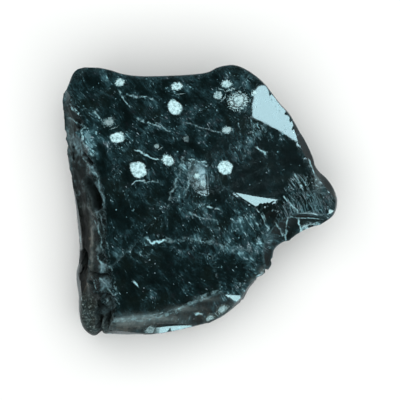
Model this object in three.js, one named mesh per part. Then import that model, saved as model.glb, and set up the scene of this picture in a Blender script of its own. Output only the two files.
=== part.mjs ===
// Snowflake obsidian: one lump of black volcanic glass, broken off a larger block by blows.
// Millimetres, +Z up. The stone lies on its flat back, with its broad broken face up.
//
// The lump is seen from a disc inside it. From every point of that disc one straight line
// runs outward, and it ends where it meets the first break. Corner points are then set where
// the neighbouring breaks cross, so the ridges between the breaks stay sharp.

import * as THREE from "three";

// The disc inside the stone that its surface is seen from.
const HEART_HEIGHT = 10;
const HEART_RADIUS = 12;

// How many corners go round the stone, and how many rings of them from its top to its back.
const COLUMNS = 100;
const RINGS = 44;

// How densely the rings lie on the upper face, the sides and the back.
const UPPER_FACE_SHARE = 1;
const SIDE_SHARE = 0.75;
const BACK_SHARE = 0.45;

// A bowl this wide is flat, in mm.
const LEVEL = 1e7;

// The widest outline seen from above, counterclockwise: x, y.
const OUTLINE = [
  [-24.9, 25.5], [-26.4, 22.4], [-27.4, 20.8], [-27.2, 14.5], [-26.6, 8.5], [-25.4, 4.5],
  [-24.4, -2], [-24, -8.5], [-24.1, -12], [-24.5, -14.7], [-24, -18.6], [-23.8, -23],
  [-23, -25.6], [-21.5, -26.8], [-20, -26.7], [-17.7, -26.5], [-12, -26.5], [-7, -26.2],
  [-1, -24.9], [2.5, -23.9], [5.5, -22.4], [8.6, -19.8], [10, -17.5], [11.6, -15.6],
  [13.2, -14.4], [14.4, -13], [14.7, -11.4], [15.2, -9.4], [17, -8], [19, -7.8],
  [21.4, -7], [24, -4.9], [26.7, -2.9], [27.6, -0.2], [27, 2.2], [25.6, 4.4],
  [23.4, 6.7], [22.2, 10.2], [20, 14], [18.2, 17.2], [16, 19.7], [13, 23.5],
  [9.8, 26], [7, 27.1], [4, 26.7], [1.5, 25.6], [-3, 25.1], [-10, 24.9],
  [-14.4, 25.2], [-18, 26.2], [-20.5, 26.6], [-23.4, 26.5],
];

// The side all the way round: direction in degrees, height of the widest line, and how much
// the side leans in above and below that line, in mm for each mm of height.
const SIDE = [
  [0, 12, 0.1, 0.3],
  [20, 15, 0.05, 0.25],
  [35, 15.5, 0.05, 0.22],
  [50, 15, 0.06, 0.2],
  [65, 17, 0.06, 0.18],
  [85, 18.5, 0.06, 0.16],
  [115, 19, 0.06, 0.16],
  [140, 18.5, 0.08, 0.18],
  [165, 13, 0.12, 0.18],
  [200, 7, 0.12, 0.2],
  [228, 6, 0.1, 0.22],
  [247, 11.5, 0.06, 0.2],
  [275, 11, 0.06, 0.2],
  [290, 8, 0.1, 0.2],
  [315, 12, 0.06, 0.3],
  [335, 13, 0.06, 0.35],
];

/** Unit vector that faces a direction, in degrees from +X, and is tilted from +Z. */
function facingWay(facing, tilt) {
  const turn = THREE.MathUtils.degToRad(facing);
  const lean = THREE.MathUtils.degToRad(tilt);
  return new THREE.Vector3(
    Math.cos(turn) * Math.sin(lean),
    Math.sin(turn) * Math.sin(lean),
    Math.cos(lean),
  );
}

/**
 * One smooth cut: a point on it, the direction it faces, its tilt from level, and the radius
 * of its bowl. A negative radius makes it a dome instead.
 */
function cut(x, y, z, facing, tilt, radius) {
  const centre = new THREE.Vector3(x, y, z).addScaledVector(facingWay(facing, tilt), radius);
  return { centre, radius: Math.abs(radius), isBowl: radius > 0 };
}

// Each break takes away what lies outside all its cuts. Blend rounds its ridges.
const BREAKS = [
  // The broad upper face and the pieces struck from it.
  { blend: 1.2, cuts: [cut(-14, 8, 21.8, 15, 2.5, -700)] },
  { blend: 0.8, cuts: [cut(9, 19.2, 20.11, 50, 8.5, -200)] },
  { blend: 0.12, cuts: [cut(9.8, 17.5, 20.21, 14, 14, -2000)] },
  { blend: 0.1, cuts: [cut(9.5, 16.4, 20.18, -29.3, 11.1, 600)] },
  { blend: 0.1, cuts: [cut(21.5, 8.1, 17.7, 25, 65, 45)] },
  { blend: 0.3, cuts: [cut(20.3, 2.2, 17.38, -60, 21, 45)] },
  { blend: 0.2, cuts: [cut(21.5, -2.3, 15.94, -80, 42, 14)] },
  { blend: 0.3, cuts: [cut(3.5, -1.8, 19.63, -50, 14, 200)] },
  {
    blend: 0.02,
    cuts: [
      cut(7, 1.7, 19.29, -78, 24, -400),
      cut(7, 1.7, 19.29, 51, 76, -400),
      cut(13.8, -0.75, 18.09, 109, 70, -400),
    ],
  },
  {
    blend: 0.3,
    cuts: [
      cut(15.2, -3.8, 16.65, -50, 18, 6),
      cut(15.8, -2.7, 17.2, -50, 8, -LEVEL),
    ],
  },
  { blend: 0.2, cuts: [cut(-2, -9.7, 19.24, -56, 16.8, 150)] },
  { blend: 0.3, cuts: [cut(8.5, -14.5, 16.55, -60, 16, 45)] },
  {
    blend: 0.05,
    cuts: [
      cut(6, -18.5, 16.15, -75, 28, -400),
      cut(5.3, -18.6, 16.25, 20, 76, -400),
    ],
  },
  // The steep front edge.
  {
    blend: 0.1,
    cuts: [
      cut(-4.9, -25.05, 13.3, -79, 25, -90),
      cut(-3, -24.75, 13.1, 273, 70, 60),
      cut(-8.6, -25.3, 14, 335, 85, -LEVEL),
    ],
  },
  {
    blend: 0.12,
    cuts: [
      cut(-1.3, -20.4, 16.86, 296, 40, -300),
      cut(5.3, -18.6, 16.25, 240, 68, -300),
    ],
  },
  // The rough left flank.
  { blend: 0.3, cuts: [cut(-21.9, 10, 21.62, 201, 45, 60)] },
  { blend: 0.3, cuts: [cut(-19.1, -6, 21.61, 183, 45, 28)] },
  { blend: 0.3, cuts: [cut(-17.6, -17.4, 21.01, 190, 48, 40)] },
  { blend: 0.2, cuts: [cut(-22.2, 0, 19.02, 186, 72, 120)] },
  { blend: 0.8, cuts: [cut(-18.5, -23, 19.58, 228, 55, 60)] },
  // Broad bowls around the sides, under the widest line.
  { blend: 0.3, cuts: [cut(24.2, 0.8, 6, -5, 112, 26)] },
  { blend: 0.3, cuts: [cut(17.6, 11.4, 4.5, 33, 105, 32)] },
  { blend: 0.3, cuts: [cut(10.3, 23, 9.5, 60, 100, 26)] },
  { blend: 0.3, cuts: [cut(-3.2, 22.7, 9, 95, 100, 34)] },
  { blend: 0.3, cuts: [cut(-18.4, 24.4, 8, 108, 102, 24)] },
  { blend: 0.3, cuts: [cut(-25, 11.7, 6.5, 176, 101, 30)] },
  { blend: 0.3, cuts: [cut(-23.1, -8.9, 5.5, 178, 104, 26)] },
  { blend: 0.3, cuts: [cut(-20.8, -25.7, 5, 236, 110, 18)] },
  { blend: 0.3, cuts: [cut(-9, -24.8, 5, 272, 101, 24)] },
  { blend: 0.3, cuts: [cut(4.6, -21.4, 6, 303, 106, 24)] },
  { blend: 0.3, cuts: [cut(12.8, -8, 7, 322, 108, 22)] },
  // The back: level, with two shallow bowls that leave it its rim to rest on.
  { blend: 0.2, cuts: [cut(-15, 14, 1.4, 130, 159, 60)] },
  { blend: 0.2, cuts: [cut(15, -3, 1.6, 320, 158, 45)] },
  { blend: 0.01, cuts: [cut(0, 0, 0, 0, 180, LEVEL)] },
];

// Pits and cracks: from one point to another, how wide and how deep.
const PITS = [
  { from: [-22, 4.2, 19.3], to: [-20.1, -0.6, 20.3], width: 1.6, depth: 2.2 },
  { from: [-24.4, 16.5, 20.7], to: [-23.9, 15.9, 20.8], width: 1, depth: 1 },
  { from: [-25.4, 11, 14.6], to: [-25.2, 8.8, 14], width: 1, depth: 0.9 },
  { from: [-22.9, -10.4, 15], to: [-22.8, -13.6, 15.3], width: 1.3, depth: 1.5 },
  { from: [-20.5, -22.2, 17.4], to: [-19.5, -26.6, 8.1], width: 1.2, depth: 1.8 },
  { from: [-18.1, -20.2, 19.9], to: [-17.8, -21.6, 20.1], width: 1, depth: 1.3 },
];

/** How far from start a line going some way meets the surface of a cut. */
function reachOfCut({ centre, radius, isBowl }, start, way) {
  const across = centre.clone().sub(start);
  const along = across.dot(way);
  const square = along * along - across.lengthSq() + radius * radius;
  if (!isBowl) return square < 0 ? -Infinity : along + Math.sqrt(square);
  return square < 0 || along < 0 ? Infinity : along - Math.sqrt(square);
}

/** The smaller of two reaches, rounded off where they are within blend of each other. */
function blendedReach(one, other, blend) {
  const near = Math.max(blend - Math.abs(one - other), 0) / blend;
  return Math.min(one, other) - (near * near * blend) / 4;
}

/** Value at a place in rows of [place, value], with the last row leading back to the first. */
function aroundTable(rows, place, full, column) {
  const after = rows.findIndex((row) => row[0] > place);
  const next = rows[after < 0 ? 0 : after];
  const last = rows[after <= 0 ? rows.length - 1 : after - 1];
  const span = THREE.MathUtils.euclideanModulo(next[0] - last[0], full);
  const step = THREE.MathUtils.euclideanModulo(place - last[0], full);
  return THREE.MathUtils.lerp(last[column], next[column], step / span);
}

/** The outline as rows of [angle, distance from the middle], from a smooth closed curve. */
function outlineTable() {
  const corners = OUTLINE.map(([x, y]) => new THREE.Vector3(x, y, 0));
  const curve = new THREE.CatmullRomCurve3(corners, true, "catmullrom", 0.5);
  return curve
    .getPoints(OUTLINE.length * 12)
    .slice(1)
    .map((point) => [
      THREE.MathUtils.euclideanModulo(Math.atan2(point.y, point.x), 2 * Math.PI),
      Math.hypot(point.x, point.y),
    ])
    .sort((one, other) => one[0] - other[0]);
}

const outline = outlineTable();

/** How far a line at an azimuth and elevation goes before it meets the plain side. */
function reachOfSide(azimuth, elevation) {
  const degrees = THREE.MathUtils.radToDeg(azimuth);
  const widest = HEART_HEIGHT - aroundTable(SIDE, degrees, 360, 1);
  const above = aroundTable(SIDE, degrees, 360, 2);
  const below = aroundTable(SIDE, degrees, 360, 3);
  const room =
    aroundTable(outline, azimuth, 2 * Math.PI, 1) - HEART_RADIUS * Math.cos(elevation);
  const rise = Math.sin(elevation);
  const run = Math.cos(elevation);
  const upper = run + above * rise;
  const lower = run - below * rise;
  return Math.min(
    upper > 0 ? (room - above * widest) / upper : Infinity,
    lower > 0 ? (room + below * widest) / lower : Infinity,
  );
}

const pitLines = PITS.map(({ from, to, width, depth }) => ({
  line: new THREE.Line3(new THREE.Vector3(...from), new THREE.Vector3(...to)),
  width,
  depth,
}));

/** How much the pits and cracks take away at a point of the surface. */
function pitDepth(point) {
  const nearest = new THREE.Vector3();
  let taken = 0;
  for (const { line, width, depth } of pitLines) {
    line.closestPointToPoint(point, true, nearest);
    const share = Math.min(nearest.distanceTo(point) / width, 1);
    taken += depth * (1 - share * share) ** 2;
  }
  return taken;
}

/** The surface point that is seen from the heart at an azimuth and an elevation. */
function surfacePoint(azimuth, elevation) {
  const turned = THREE.MathUtils.euclideanModulo(azimuth, 2 * Math.PI);
  const aside = new THREE.Vector3(Math.cos(turned), Math.sin(turned), 0);
  const run = Math.cos(elevation);
  const start = new THREE.Vector3(0, 0, HEART_HEIGHT).addScaledVector(aside, HEART_RADIUS * run);
  const way = new THREE.Vector3(0, 0, Math.sin(elevation)).addScaledVector(aside, run);
  let reach = reachOfSide(turned, elevation);
  for (const { blend, cuts } of BREAKS) {
    const reaches = cuts.map((one) => reachOfCut(one, start, way));
    reach = blendedReach(reach, Math.max(...reaches), blend);
  }
  const point = start.clone().addScaledVector(way, reach);
  return point.addScaledVector(way, -pitDepth(point));
}

/** Elevations of the rings, spread along the profile of a plain block from top to back. */
function ringElevations() {
  const blockRadius = 25;
  const blockTop = 11;
  const steps = 1800;
  const walk = [];
  let walked = 0;
  let last = [0, blockTop];
  for (let i = 1; i < steps; i++) {
    const elevation = Math.PI / 2 - (Math.PI * i) / steps;
    const rise = Math.sin(elevation);
    const run = Math.cos(elevation);
    const toSide = (blockRadius - HEART_RADIUS * run) / run;
    const toEnd = (rise > 0 ? blockTop : HEART_HEIGHT) / Math.abs(rise);
    const reach = Math.min(toSide, toEnd);
    const place = [(HEART_RADIUS + reach) * run, reach * rise];
    const endShare = rise > 0 ? UPPER_FACE_SHARE : BACK_SHARE;
    const share = toSide < toEnd ? SIDE_SHARE : endShare;
    walked += share * Math.hypot(place[0] - last[0], place[1] - last[1]);
    walk.push([walked, elevation]);
    last = place;
  }
  const poleGap = 0.9;
  return Array.from({ length: RINGS }, (_, i) => {
    const wanted = (walked * (i + poleGap)) / (RINGS - 1 + 2 * poleGap);
    return walk.find((row) => row[0] >= wanted)[1];
  });
}

/**
 * The point where the breaks around it cross: it lies as near as it can to the tangent
 * planes of the samples, and stays within their spread.
 */
function cornerPoint(samples) {
  const middle = new THREE.Vector3();
  for (const { point } of samples) middle.addScaledVector(point, 1 / samples.length);
  // A weak hold keeps the corner by its samples where they lie in one plane.
  const hold = 0.05;
  const sums = [hold, 0, 0, 0, hold, 0, 0, 0, hold];
  const pull = new THREE.Vector3();
  let spread = 0;
  for (const { point, normal } of samples) {
    const n = normal.toArray();
    for (let i = 0; i < 9; i++) sums[i] += n[Math.floor(i / 3)] * n[i % 3];
    pull.addScaledVector(normal, normal.dot(point.clone().sub(middle)));
    spread = Math.max(spread, point.distanceTo(middle));
  }
  const step = pull.applyMatrix3(new THREE.Matrix3().set(...sums).invert());
  return middle.add(step.clampLength(0, spread));
}

/** Closed geometry of the whole lump. */
function lumpGeometry() {
  const nudge = 1e-4;
  const samples = ringElevations().map((elevation) =>
    Array.from({ length: COLUMNS }, (_, i) => {
      const azimuth = ((i + 0.5) / COLUMNS) * 2 * Math.PI;
      const point = surfacePoint(azimuth, elevation);
      const sideways = surfacePoint(azimuth + nudge, elevation).sub(point);
      const upwards = surfacePoint(azimuth, elevation + nudge).sub(point);
      return { point, normal: sideways.cross(upwards).normalize() };
    }),
  );
  const corners = [];
  for (let ring = 0; ring < RINGS - 1; ring++) {
    for (let i = 0; i < COLUMNS; i++) {
      const next = (i + 1) % COLUMNS;
      const around = [ring, ring + 1].flatMap((row) => [samples[row][i], samples[row][next]]);
      const corner = cornerPoint(around);
      // No ridge pokes out under the level back.
      corner.z = Math.max(corner.z, 0);
      corners.push(corner);
    }
  }
  const top = corners.push(surfacePoint(0, Math.PI / 2)) - 1;
  const bottom = corners.push(surfacePoint(0, -Math.PI / 2)) - 1;

  const faces = [];
  for (let i = 0; i < COLUMNS; i++) {
    const next = (i + 1) % COLUMNS;
    const lastRing = (RINGS - 2) * COLUMNS;
    faces.push(top, i, next, bottom, lastRing + next, lastRing + i);
    for (let ring = 0; ring < RINGS - 2; ring++) {
      const upper = ring * COLUMNS;
      const lower = upper + COLUMNS;
      const [a, b, c, d] = [upper + i, lower + i, lower + next, upper + next];
      // The shorter diagonal follows the ridges better.
      if (corners[a].distanceTo(corners[c]) < corners[b].distanceTo(corners[d])) {
        faces.push(a, b, c, a, c, d);
      } else {
        faces.push(a, b, d, b, c, d);
      }
    }
  }
  return new THREE.BufferGeometry().setFromPoints(corners).setIndex(faces);
}

// The origin is below the middle of the stone, on the surface that it rests on.
const geometry = lumpGeometry();
geometry.computeBoundingBox();
const middle = geometry.boundingBox.getCenter(new THREE.Vector3());
geometry.translate(-middle.x, -middle.y, -geometry.boundingBox.min.z);
geometry.computeVertexNormals();

const glass = new THREE.MeshStandardMaterial({ color: 0x10191a, roughness: 0.12, metalness: 0 });
const lump = new THREE.Mesh(geometry, glass);
lump.name = "obsidian";

const part = new THREE.Group();
part.add(lump);
export default part;
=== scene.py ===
import math

import bpy
import numpy as np
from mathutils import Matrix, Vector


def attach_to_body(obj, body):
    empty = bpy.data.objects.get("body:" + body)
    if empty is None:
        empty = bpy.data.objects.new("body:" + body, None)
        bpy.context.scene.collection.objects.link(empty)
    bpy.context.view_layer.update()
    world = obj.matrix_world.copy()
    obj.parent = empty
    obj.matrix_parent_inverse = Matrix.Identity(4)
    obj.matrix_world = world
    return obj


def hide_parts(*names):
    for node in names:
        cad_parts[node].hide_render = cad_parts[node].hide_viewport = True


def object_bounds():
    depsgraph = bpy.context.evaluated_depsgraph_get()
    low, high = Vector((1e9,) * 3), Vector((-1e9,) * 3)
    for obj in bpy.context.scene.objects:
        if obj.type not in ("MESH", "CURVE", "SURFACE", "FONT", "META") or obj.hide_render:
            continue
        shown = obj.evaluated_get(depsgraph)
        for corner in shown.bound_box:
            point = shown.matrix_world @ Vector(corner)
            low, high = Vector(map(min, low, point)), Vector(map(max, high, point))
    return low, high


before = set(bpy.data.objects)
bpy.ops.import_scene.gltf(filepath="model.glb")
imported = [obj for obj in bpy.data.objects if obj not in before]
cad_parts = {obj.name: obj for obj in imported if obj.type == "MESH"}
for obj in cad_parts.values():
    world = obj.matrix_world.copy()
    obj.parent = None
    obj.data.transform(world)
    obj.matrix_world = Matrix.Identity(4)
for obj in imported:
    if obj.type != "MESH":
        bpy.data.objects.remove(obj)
frame_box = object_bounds()

# The camera looks straight down on the stone, as on a thing that lies on a table.
# It stands far off, so that the height of the stone hardly spreads its outline, and a hair
# off the upright line, so that its view has a definite side.
scene = bpy.context.scene
camera_data = bpy.data.cameras.new("camera")
camera = bpy.data.objects.new("camera", camera_data)
scene.collection.objects.link(camera)
scene.camera = camera
CAMERA_HEIGHT = 2.0
CAMERA_SIDE = 0.0001
PICTURE_WIDTH = 0.080
WIDEST_HEIGHT = 0.012
SENSOR_WIDTH = 36
camera.location = (0, CAMERA_SIDE, CAMERA_HEIGHT)
camera_data.sensor_width = SENSOR_WIDTH
camera_data.lens = SENSOR_WIDTH * (CAMERA_HEIGHT - WIDEST_HEIGHT) / PICTURE_WIDTH
camera_data.clip_end = 5 * CAMERA_HEIGHT
scene.view_settings.view_transform = "Standard"

# Obsidian, the shape of the lump.
# A lump of volcanic glass that was struck off a larger block: a few broad, gently hollow
# breaks above, a rough crushed flank on the left, and steep sides down to a flat back.
# It is worked out in millimetres, with the breaks in the places that the solid model has.

# The disc inside the stone that its surface is seen from.
HEART_HEIGHT = 10
HEART_RADIUS = 12
# How many corners go round the stone, and how many rings of them from its top to its back.
COLUMNS = 600
RINGS = 164
# A bowl this wide is flat.
LEVEL = 1e7

# The widest outline seen from above, counterclockwise: x, y.
OUTLINE = [
    (-24.9, 25.5), (-26.4, 22.4), (-27.4, 20.8), (-27.2, 14.5), (-26.6, 8.5), (-25.4, 4.5),
    (-24.4, -2), (-24, -8.5), (-24.1, -12), (-24.5, -14.7), (-24, -18.6), (-23.8, -23),
    (-23, -25.6), (-21.5, -26.8), (-20, -26.7), (-17.7, -26.5), (-12, -26.5), (-7, -26.2),
    (-1, -24.9), (2.5, -23.9), (5.5, -22.4), (8.6, -19.8), (10, -17.5), (11.6, -15.6),
    (13.2, -14.4), (14.4, -13), (14.7, -11.4), (15.2, -9.4), (17, -8), (19, -7.8),
    (21.4, -7), (24, -4.9), (26.7, -2.9), (27.6, -0.2), (27, 2.2), (25.6, 4.4),
    (23.4, 6.7), (22.2, 10.2), (20, 14), (18.2, 17.2), (16, 19.7), (13, 23.5),
    (9.8, 26), (7, 27.1), (4, 26.7), (1.5, 25.6), (-3, 25.1), (-10, 24.9),
    (-14.4, 25.2), (-18, 26.2), (-20.5, 26.6), (-23.4, 26.5),
]

# The side all the way round: direction in degrees, height of the widest line, and how much
# the side leans in above and below that line, in mm for each mm of height.
SIDE = np.array([
    (0, 12, 0.1, 0.3),
    (20, 15, 0.05, 0.25),
    (35, 15.5, 0.05, 0.22),
    (50, 15, 0.06, 0.2),
    (65, 17, 0.06, 0.18),
    (85, 18.5, 0.06, 0.16),
    (115, 19, 0.06, 0.16),
    (140, 18.5, 0.08, 0.18),
    (165, 13, 0.12, 0.18),
    (200, 7, 0.12, 0.2),
    (228, 6, 0.1, 0.22),
    (247, 11.5, 0.06, 0.2),
    (275, 11, 0.06, 0.2),
    (290, 8, 0.1, 0.2),
    (315, 12, 0.06, 0.3),
    (335, 13, 0.06, 0.35),
])


def towards(facing, tilt):
    """Unit vector that faces an angle from +X and is tilted from +Z, both in degrees."""
    turn, lean = math.radians(facing), math.radians(tilt)
    return np.array([
        math.cos(turn) * math.sin(lean),
        math.sin(turn) * math.sin(lean),
        math.cos(lean),
    ])


def cut(x, y, z, facing, tilt, radius):
    """A spherical cut: a point on it, where it faces there, and its radius, negative for a dome.

    It is returned as its centre, its radius and its tilt.
    """
    centre = np.array([x, y, z]) + radius * towards(facing, tilt)
    return centre, radius, tilt


# Each break: how softly its ridges are rounded, where the blow fell (x, y), how rough it
# is, how strong its streaks are, and its cuts. It takes away what lies outside all of them.
BREAKS = [
    # The broad upper face and the pieces struck from it.
    (1.2, (-60, 70), 0, 0.5, [cut(-14, 8, 21.8, 15, 2.5, -700)]),
    (0.8, (-60, 70), 0, 0.3, [cut(9, 19.2, 20.11, 50, 8.5, -200)]),
    (0.12, (42, 71), 0, 0.45, [cut(9.8, 17.5, 20.21, 14, 14, -2000)]),
    (0.1, (-10, 50), 0, 0.3, [cut(9.5, 16.4, 20.18, -29.3, 11.1, 600)]),
    (0.1, (15, 4), 0.05, 0.4, [cut(21.5, 8.1, 17.7, 25, 65, 45)]),
    (0.3, (5, 30), 0, 1, [cut(20.3, 2.2, 17.38, -60, 21, 45)]),
    (0.2, (26, 2), 0.1, 0.6, [cut(21.5, -2.3, 15.94, -80, 42, 14)]),
    (0.3, (-30, 40), 0, 0.6, [cut(3.5, -1.8, 19.63, -50, 14, 200)]),
    (0.02, (7, 1.7), 0, 0, [
        cut(7, 1.7, 19.29, -78, 24, -400),
        cut(7, 1.7, 19.29, 51, 76, -400),
        cut(13.8, -0.75, 18.09, 109, 70, -400),
    ]),
    (0.3, (10, 4), 0, 0.5, [
        cut(15.2, -3.8, 16.65, -50, 18, 6),
        cut(15.8, -2.7, 17.2, -50, 8, -LEVEL),
    ]),
    (0.2, (-60, 40), 0, 0.4, [cut(-2, -9.7, 19.24, -56, 16.8, 150)]),
    (0.3, (-60, 40), 0, 0.4, [cut(8.5, -14.5, 16.55, -60, 16, 45)]),
    (0.05, (6, -18), 0, 0, [
        cut(6, -18.5, 16.15, -75, 28, -400),
        cut(5.3, -18.6, 16.25, 20, 76, -400),
    ]),
    # The steep front edge: a ledge and a bevel.
    (0.1, (-12, -10), 0, 0, [
        cut(-4.9, -25.05, 13.3, -79, 25, -90),
        cut(-3, -24.75, 13.1, 273, 70, 60),
        cut(-8.6, -25.3, 14, 335, 85, -LEVEL),
    ]),
    (0.12, (-2, -10), 0, 0.2, [
        cut(-1.3, -20.4, 16.86, 296, 40, -300),
        cut(5.3, -18.6, 16.25, 240, 68, -300),
    ]),
    # The rough left flank.
    (0.3, (-10, 20), 0.8, 0.8, [cut(-21.9, 10, 21.62, 201, 45, 60)]),
    (0.3, (-10, 0), 0.8, 0.8, [cut(-19.1, -6, 21.61, 183, 45, 28)]),
    (0.3, (-10, -10), 0.8, 0.8, [cut(-17.6, -17.4, 21.01, 190, 48, 40)]),
    (0.2, (-10, 0), 1, 0.8, [cut(-22.2, 0, 19.02, 186, 72, 120)]),
    (0.8, (-10, -20), 1, 0.8, [cut(-18.5, -23, 19.58, 228, 55, 60)]),
    # Broad bowls round the sides, under the widest line.
    (0.3, (30, 1), 0.1, 0.5, [cut(24.2, 0.8, 6, -5, 112, 26)]),
    (0.3, (22, 14), 0, 0.5, [cut(17.6, 11.4, 4.5, 33, 105, 32)]),
    (0.3, (13, 29), 0, 0.5, [cut(10.3, 23, 9.5, 60, 100, 26)]),
    (0.3, (-4, 28), 0, 0.5, [cut(-3.2, 22.7, 9, 95, 100, 34)]),
    (0.3, (-23, 30), 0.1, 0.5, [cut(-18.4, 24.4, 8, 108, 102, 24)]),
    (0.3, (-31, 15), 0.7, 0.5, [cut(-25, 11.7, 6.5, 176, 101, 30)]),
    (0.3, (-29, -11), 0.7, 0.5, [cut(-23.1, -8.9, 5.5, 178, 104, 26)]),
    (0.3, (-26, -32), 0.4, 0.5, [cut(-20.8, -25.7, 5, 236, 110, 18)]),
    (0.3, (-11, -31), 0.1, 0.5, [cut(-9, -24.8, 5, 272, 101, 24)]),
    (0.3, (6, -27), 0, 0.5, [cut(4.6, -21.4, 6, 303, 106, 24)]),
    (0.3, (16, -10), 0.1, 0.5, [cut(12.8, -8, 7, 322, 108, 22)]),
    # The back: level, with two shallow bowls that leave it its rim to rest on.
    (0.2, (-30, 30), 0.1, 0.5, [cut(-15, 14, 1.4, 130, 159, 60)]),
    (0.2, (30, -10), 0.1, 0.5, [cut(15, -3, 1.6, 320, 158, 45)]),
    (0.01, (-40, -40), 0, 0.4, [cut(0, 0, 0, 0, 180, LEVEL)]),
]

# Pits and cracks: from one point to another, how wide and how deep.
PITS = [
    ((-22, 4.2, 19.3), (-20.1, -0.6, 20.3), 1.6, 2.2),
    ((-24.4, 16.5, 20.7), (-23.9, 15.9, 20.8), 1, 1),
    ((-25.4, 11, 14.6), (-25.2, 8.8, 14), 1, 0.9),
    ((-22.9, -10.4, 15), (-22.8, -13.6, 15.3), 1.3, 1.5),
    ((-20.5, -22.2, 17.4), (-19.5, -26.6, 8.1), 1.2, 1.8),
    ((-18.1, -20.2, 19.9), (-17.8, -21.6, 20.1), 1, 1.3),
]


def outline_reach(azimuth):
    """Distance of the outline at each azimuth: a closed cubic curve through its points.

    Its slope at each point is half the step between the two points beside it.
    """
    samples = 12
    corners = np.array(OUTLINE, float)
    t = np.linspace(0, 1, samples, endpoint=False)[None, :, None]
    a, b, c, d = (np.roll(corners, shift, 0)[:, None, :] for shift in (1, 0, -1, -2))
    curve = 0.5 * (2 * b + (c - a) * t + (2 * a - 5 * b + 4 * c - d) * t**2
                   + (3 * b - a - 3 * c + d) * t**3)
    curve = curve.reshape(-1, 2)
    angles = np.arctan2(curve[:, 1], curve[:, 0])
    order = np.argsort(angles)
    distances = np.hypot(curve[:, 0], curve[:, 1])
    return np.interp(azimuth, angles[order], distances[order], period=2 * math.pi)


def side_reach(azimuth, elevation):
    """Length of each line until it meets the plain side, which leans in from its widest line."""
    degrees = np.degrees(azimuth) % 360
    widest, above, below = (
        np.interp(degrees, SIDE[:, 0], SIDE[:, column], period=360) for column in (1, 2, 3)
    )
    room = outline_reach(azimuth) - HEART_RADIUS * np.cos(elevation)
    upper = np.cos(elevation) + above * np.sin(elevation)
    lower = np.cos(elevation) - below * np.sin(elevation)
    drop = HEART_HEIGHT - widest
    with np.errstate(divide="ignore", invalid="ignore"):
        to_upper = np.where(upper > 1e-6, (room - above * drop) / upper, np.inf)
        to_lower = np.where(lower > 1e-6, (room + below * drop) / lower, np.inf)
    return np.minimum(to_upper, to_lower)


# Longer than any line through the stone, in mm.
FAR = 1e3


def cut_reach(centre, radius, start, way):
    """Length of each line until it meets a sphere: from outside for a bowl, inside for a dome."""
    across = centre - start
    along = (across * way).sum(-1)
    square = along**2 - (across**2).sum(-1) + radius**2
    root = np.sqrt(np.maximum(square, 0))
    if radius < 0:
        return np.where(square < 0, -np.inf, along + root)
    return np.where((square < 0) | (along < 0), FAR, along - root)


# Mixing numbers: any large, uneven ones scatter the values well.
SEED_STEP = 17.31
MIXER = np.array([12.9898, 78.233, 37.719])
SCATTER = 43758.5453


def noise(points, size, seed):
    """Smooth random value from -1 to 1: random corners of a cube grid, blended by 3t^2 - 2t^3."""
    scaled = points / size + seed * SEED_STEP
    cell = np.floor(scaled)
    t = scaled - cell
    t = t * t * (3 - 2 * t)

    def corner(x, y, z):
        """Random value from -1 to 1 that belongs to one corner of each cube."""
        scattered = np.sin((cell + (x, y, z)) @ MIXER) * SCATTER
        return 2 * (scattered - np.floor(scattered)) - 1

    def between(low, high, part):
        """Value a part of the way from low to high."""
        return low + (high - low) * part

    floor_values = between(
        between(corner(0, 0, 0), corner(1, 0, 0), t[..., 0]),
        between(corner(0, 1, 0), corner(1, 1, 0), t[..., 0]),
        t[..., 1],
    )
    roof_values = between(
        between(corner(0, 0, 1), corner(1, 0, 1), t[..., 0]),
        between(corner(0, 1, 1), corner(1, 1, 1), t[..., 0]),
        t[..., 1],
    )
    return between(floor_values, roof_values, t[..., 2])


# A breakage too small for the solid: a wedge split out of the middle of the upper face.
BREAKS += [
    (0.05, (0.5, 30), 0.55, 1, [
        cut(0.3, 5.6, 20.37, -8, 17, 20),
        cut(1.6, 5, 20.45, 185, 55, -LEVEL),
        cut(-0.7, 8.0, 21.05, -112, 50, -LEVEL),
    ]),
]

# Finer cracks and bites: points seen from above (x, y), half width, and depth. They fade out
# down the side, from one height to the other.
CRACK_FADE = (8, 4)
CRACKS = [
    ([(-21.6, -14.0), (-19.8, -14.8), (-17.6, -15.4)], 0.45, 0.7),
    ([(-21.6, -16.2), (-20.9, -18.4)], 0.6, 0.9),
    ([(-20.5, -18.2), (-18.9, -19.0), (-17.4, -20.4), (-17.1, -21.4)], 0.5, 1.3),
    ([(-20.1, -20.4), (-19.1, -22.8), (-18.6, -25.2)], 0.5, 1.1),
    ([(-20.2, -23.4), (-19.7, -26.6)], 0.75, 1.5),
    ([(-24.5, 16.6), (-24.0, 16.0)], 0.8, 0.8),
    ([(-23.5, 10.0), (-21.3, 7.6)], 0.5, 0.7),
    ([(-25.5, 11.2), (-25.3, 8.6)], 0.35, 0.5),
    ([(-23.1, -10.4), (-22.9, -13.2)], 0.9, 0.8),
    ([(14.9, -11.7), (15.2, -11.8)], 0.7, 0.6),
    ([(13.6, -13.9), (13.8, -14.1)], 0.6, 0.6),
    ([(12.1, -15.4), (12.3, -15.6)], 0.7, 0.5),
    ([(11.0, -16.9), (11.2, -17.1)], 0.6, 0.5),
    ([(8.7, -20.1), (8.8, -20.3)], 0.6, 0.5),
]

# Crumbly lumps: their middle and radius.
CRUMBLY = [
    (-22.0, -23.6, 14.0, 5.0),
    (-9.8, -25.7, 12.8, 1.6),
    (4.9, -21.8, 13.6, 1.5),
    (2.3, -23.5, 13.2, 1.4),
]


def away_from(points, line):
    """Distance of each point from a line through some points, in as many axes as they have."""
    axes = len(line[0])
    nearest = np.full(points.shape[:-1], np.inf)
    for first, last in zip(np.array(line[:-1]), np.array(line[1:])):
        run = last - first
        part = np.clip(((points[..., :axes] - first) @ run) / (run @ run), 0, 1)
        foot = first + part[..., None] * run
        nearest = np.minimum(nearest, np.linalg.norm(points[..., :axes] - foot, axis=-1))
    return nearest


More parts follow.
